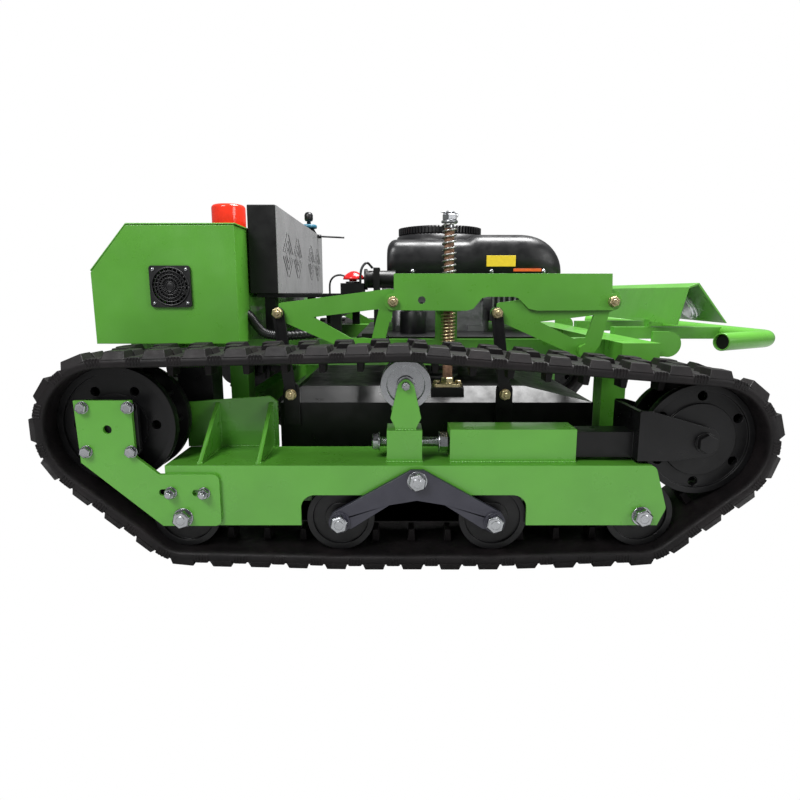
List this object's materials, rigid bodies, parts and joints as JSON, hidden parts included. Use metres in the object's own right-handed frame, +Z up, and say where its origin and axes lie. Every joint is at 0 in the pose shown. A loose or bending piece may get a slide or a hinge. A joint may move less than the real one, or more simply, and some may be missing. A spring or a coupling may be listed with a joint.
{
  "type": "tracked mower chassis",
  "caption": "Green remote-controlled tracked mower: two rubber-track units on a welded frame, with an engine, an electrics box, a bumper and a cutting deck hung on a parallel lift linkage.",
  "frame": {"origin": "on the ground under the middle of the machine's bounding box", "axes": "+X towards the front bumper, +Y to the machine's left, +Z up"},
  "size_m": [1.5432, 1.336, 0.7763],
  "materials": {
    "green_paint": "gloss",
    "black_paint": "satin",
    "slate_paint": "satin",
    "track_rubber": "matte",
    "belt_rubber": "matte",
    "zinc_steel": "satin",
    "blade_steel": "satin",
    "yellow_zinc": "satin",
    "cast_aluminium": "satin",
    "black_plastic": "satin",
    "red_lens": "gloss",
    "red_plastic": "gloss",
    "lamp_glass": "gloss"
  },
  "bodies": {
    "chassis": {"bearing_plates": "green_paint", "bumper": "green_paint", "control_box": "green_paint", "drive_belt": "belt_rubber", "drive_units": "black_paint", "engine_block": "cast_aluminium", "engine_cowl": "black_plastic", "engine_plate": "black_paint", "fan_guard": "black_plastic", "flange_bearings": "zinc_steel", "front_guard": "green_paint", "grille_box": "black_paint", "headlamps": "lamp_glass", "lift_actuator": "black_paint", "main_frame": "green_paint", "muffler": "black_paint", "oil_filter": "black_plastic", "platform": "black_paint", "rod_springs": "yellow_zinc", "top_knob": "black_plastic", "track_belt_left": "track_rubber", "track_belt_right": "track_rubber", "track_fasteners": "zinc_steel", "track_frame_left": "green_paint", "track_frame_right": "green_paint"},
    "drive_sprocket_right": {"sprocket_right": "black_paint"},
    "idler_carriage_right": {"idler_fork_right": "black_paint"},
    "front_idler_right": {"idler_wheel_right": "black_paint"},
    "top_roller_right": {"carrier_roller_right": "zinc_steel"},
    "bogie_right": {"bogie_rocker_right": "slate_paint"},
    "roller_right_1": {"road_roller_right_1": "black_paint"},
    "roller_right_2": {"road_roller_right_2": "black_paint"},
    "roller_right_3": {"road_roller_right_3": "black_paint"},
    "roller_right_4": {"road_roller_right_4": "black_paint"},
    "drive_sprocket_left": {"sprocket_left": "black_paint"},
    "idler_carriage_left": {"idler_fork_left": "black_paint"},
    "front_idler_left": {"idler_wheel_left": "black_paint"},
    "top_roller_left": {"carrier_roller_left": "zinc_steel"},
    "bogie_left": {"bogie_rocker_left": "slate_paint"},
    "roller_left_1": {"road_roller_left_1": "black_paint"},
    "roller_left_2": {"road_roller_left_2": "black_paint"},
    "roller_left_3": {"road_roller_left_3": "black_paint"},
    "roller_left_4": {"road_roller_left_4": "black_paint"},
    "lift_rear_right": {"lift_crank_rear_right": "green_paint"},
    "lift_rear_left": {"lift_crank_rear_left": "green_paint"},
    "lift_front_right": {"lift_crank_front_right": "green_paint"},
    "lift_front_left": {"lift_crank_front_left": "green_paint"},
    "bar_right": {"lift_bar_right": "green_paint"},
    "bar_left": {"lift_bar_left": "green_paint"},
    "deck": {"deck_shell": "black_paint", "deck_links": "black_paint", "spindle_housings": "cast_aluminium", "spring_rod": "yellow_zinc"},
    "cutter_right": {"blade_right": "blade_steel"},
    "cutter_left": {"blade_left": "blade_steel"},
    "crankshaft": {"rotating_screen": "black_plastic"},
    "lid": {"box_lid": "green_paint", "beacon": "red_lens"},
    "estop": {"estop_button": "red_plastic"},
    "fan": {"fan_rotor": "black_plastic"}
  },
  "joints": [
    {"name": "sprocket_spin_right", "type": "hinge", "parent": "chassis", "child": "drive_sprocket_right", "pos_m": [-0.627, -0.57, 0.276], "axis": [0, 1, 0], "continuous": true, "deforming": ["track_belt_right"]},
    {"name": "tensioner_slide_right", "type": "slide", "parent": "chassis", "child": "idler_carriage_right", "axis": [1, 0, 0], "range_m": [-0.012, 0]},
    {"name": "idler_spin_right", "type": "hinge", "parent": "idler_carriage_right", "child": "front_idler_right", "pos_m": [0.481, -0.57, 0.248], "axis": [0, 1, 0], "continuous": true},
    {"name": "carrier_spin_right", "type": "hinge", "parent": "chassis", "child": "top_roller_right", "pos_m": [-0.078, -0.57, 0.352], "axis": [0, 1, 0], "continuous": true},
    {"name": "bogie_tilt_right", "type": "hinge", "parent": "chassis", "child": "bogie_right", "pos_m": [-0.057, -0.57, 0.179], "axis": [0, 1, 0], "range_deg": [-4, 4]},
    {"name": "roller_spin_right_1", "type": "hinge", "parent": "chassis", "child": "roller_right_1", "pos_m": [-0.498, -0.57, 0.1056], "axis": [0, 1, 0], "continuous": true},
    {"name": "roller_spin_right_2", "type": "hinge", "parent": "bogie_right", "child": "roller_right_2", "pos_m": [-0.203, -0.57, 0.0976], "axis": [0, 1, 0], "continuous": true},
    {"name": "roller_spin_right_3", "type": "hinge", "parent": "bogie_right", "child": "roller_right_3", "pos_m": [0.089, -0.57, 0.0976], "axis": [0, 1, 0], "continuous": true},
    {"name": "roller_spin_right_4", "type": "hinge", "parent": "chassis", "child": "roller_right_4", "pos_m": [0.37, -0.57, 0.1056], "axis": [0, 1, 0], "continuous": true},
    {"name": "sprocket_spin_left", "type": "hinge", "parent": "chassis", "child": "drive_sprocket_left", "pos_m": [-0.627, 0.57, 0.276], "axis": [0, 1, 0], "continuous": true, "deforming": ["track_belt_left"]},
    {"name": "tensioner_slide_left", "type": "slide", "parent": "chassis", "child": "idler_carriage_left", "axis": [1, 0, 0], "range_m": [-0.012, 0]},
    {"name": "idler_spin_left", "type": "hinge", "parent": "idler_carriage_left", "child": "front_idler_left", "pos_m": [0.481, 0.57, 0.248], "axis": [0, 1, 0], "continuous": true},
    {"name": "carrier_spin_left", "type": "hinge", "parent": "chassis", "child": "top_roller_left", "pos_m": [-0.078, 0.57, 0.352], "axis": [0, 1, 0], "continuous": true},
    {"name": "bogie_tilt_left", "type": "hinge", "parent": "chassis", "child": "bogie_left", "pos_m": [-0.057, 0.57, 0.179], "axis": [0, 1, 0], "range_deg": [-4, 4]},
    {"name": "roller_spin_left_1", "type": "hinge", "parent": "chassis", "child": "roller_left_1", "pos_m": [-0.498, 0.57, 0.1056], "axis": [0, 1, 0], "continuous": true},
    {"name": "roller_spin_left_2", "type": "hinge", "parent": "bogie_left", "child": "roller_left_2", "pos_m": [-0.203, 0.57, 0.0976], "axis": [0, 1, 0], "continuous": true},
    {"name": "roller_spin_left_3", "type": "hinge", "parent": "bogie_left", "child": "roller_left_3", "pos_m": [0.089, 0.57, 0.0976], "axis": [0, 1, 0], "continuous": true},
    {"name": "roller_spin_left_4", "type": "hinge", "parent": "chassis", "child": "roller_left_4", "pos_m": [0.37, 0.57, 0.1056], "axis": [0, 1, 0], "continuous": true},
    {"name": "deck_lift", "type": "hinge", "parent": "chassis", "child": "lift_rear_right", "pos_m": [-0.162, -0.432, 0.402], "axis": [0, 1, 0], "range_deg": [-14, 3], "deforming": ["rod_springs", "drive_belt"]},
    {"name": "crank_turn_rear_left", "type": "hinge", "parent": "chassis", "child": "lift_rear_left", "pos_m": [-0.162, 0.432, 0.402], "axis": [0, 1, 0], "range_deg": [-14, 3]},
    {"name": "crank_turn_front_right", "type": "hinge", "parent": "chassis", "child": "lift_front_right", "pos_m": [0.303, -0.432, 0.402], "axis": [0, 1, 0], "range_deg": [-14, 3]},
    {"name": "crank_turn_front_left", "type": "hinge", "parent": "chassis", "child": "lift_front_left", "pos_m": [0.303, 0.432, 0.402], "axis": [0, 1, 0], "range_deg": [-14, 3]},
    {"name": "bar_level_right", "type": "hinge", "parent": "lift_rear_right", "child": "bar_right", "pos_m": [-0.104, -0.442, 0.505], "axis": [0, 1, 0], "range_deg": [-3, 14]},
    {"name": "bar_level_left", "type": "hinge", "parent": "lift_rear_left", "child": "bar_left", "pos_m": [-0.104, 0.442, 0.505], "axis": [0, 1, 0], "range_deg": [-3, 14]},
    {"name": "deck_level", "type": "hinge", "parent": "lift_rear_right", "child": "deck", "pos_m": [-0.348, -0.442, 0.481], "axis": [0, 1, 0], "range_deg": [-3, 14]},
    {"name": "blade_spin_right", "type": "hinge", "parent": "deck", "child": "cutter_right", "pos_m": [-0.008, -0.215, 0.3], "axis": [0, 0, 1], "continuous": true},
    {"name": "blade_spin_left", "type": "hinge", "parent": "deck", "child": "cutter_left", "pos_m": [-0.008, 0.215, 0.3], "axis": [0, 0, 1], "continuous": true},
    {"name": "engine_spin", "type": "hinge", "parent": "chassis", "child": "crankshaft", "pos_m": [0.022, 0, 0.6], "axis": [0, 0, 1], "continuous": true},
    {"name": "lid_open", "type": "hinge", "parent": "chassis", "child": "lid", "pos_m": [-0.724, 0, 0.564], "axis": [0, 1, 0], "range_deg": [-95, 0]},
    {"name": "estop_press", "type": "slide", "parent": "chassis", "child": "estop", "axis": [0, 0, 1], "range_m": [-0.004, 0], "stiffness_N_per_m": 900},
    {"name": "fan_spin", "type": "hinge", "parent": "chassis", "child": "fan", "pos_m": [-0.56, -0.453, 0.536], "axis": [0, 1, 0], "continuous": true}
  ],
  "couplings": [
    {"joint": "idler_spin_right", "follows": "sprocket_spin_right", "ratio": 1.0467},
    {"joint": "carrier_spin_right", "follows": "sprocket_spin_right", "ratio": 2.3333},
    {"joint": "roller_spin_right_1", "follows": "sprocket_spin_right", "ratio": 1.7231},
    {"joint": "roller_spin_right_2", "follows": "sprocket_spin_right", "ratio": 1.7231},
    {"joint": "roller_spin_right_3", "follows": "sprocket_spin_right", "ratio": 1.7231},
    {"joint": "roller_spin_right_4", "follows": "sprocket_spin_right", "ratio": 1.7231},
    {"joint": "idler_spin_left", "follows": "sprocket_spin_left", "ratio": 1.0467},
    {"joint": "carrier_spin_left", "follows": "sprocket_spin_left", "ratio": 2.3333},
    {"joint": "roller_spin_left_1", "follows": "sprocket_spin_left", "ratio": 1.7231},
    {"joint": "roller_spin_left_2", "follows": "sprocket_spin_left", "ratio": 1.7231},
    {"joint": "roller_spin_left_3", "follows": "sprocket_spin_left", "ratio": 1.7231},
    {"joint": "roller_spin_left_4", "follows": "sprocket_spin_left", "ratio": 1.7231},
    {"joint": "crank_turn_rear_left", "follows": "deck_lift", "ratio": 1},
    {"joint": "crank_turn_front_right", "follows": "deck_lift", "ratio": 1},
    {"joint": "crank_turn_front_left", "follows": "deck_lift", "ratio": 1},
    {"joint": "bar_level_right", "follows": "deck_lift", "ratio": -1},
    {"joint": "bar_level_left", "follows": "deck_lift", "ratio": -1},
    {"joint": "deck_level", "follows": "deck_lift", "ratio": -1},
    {"joint": "blade_spin_right", "follows": "engine_spin", "ratio": 1.24},
    {"joint": "blade_spin_left", "follows": "engine_spin", "ratio": 1.24}
  ]
}
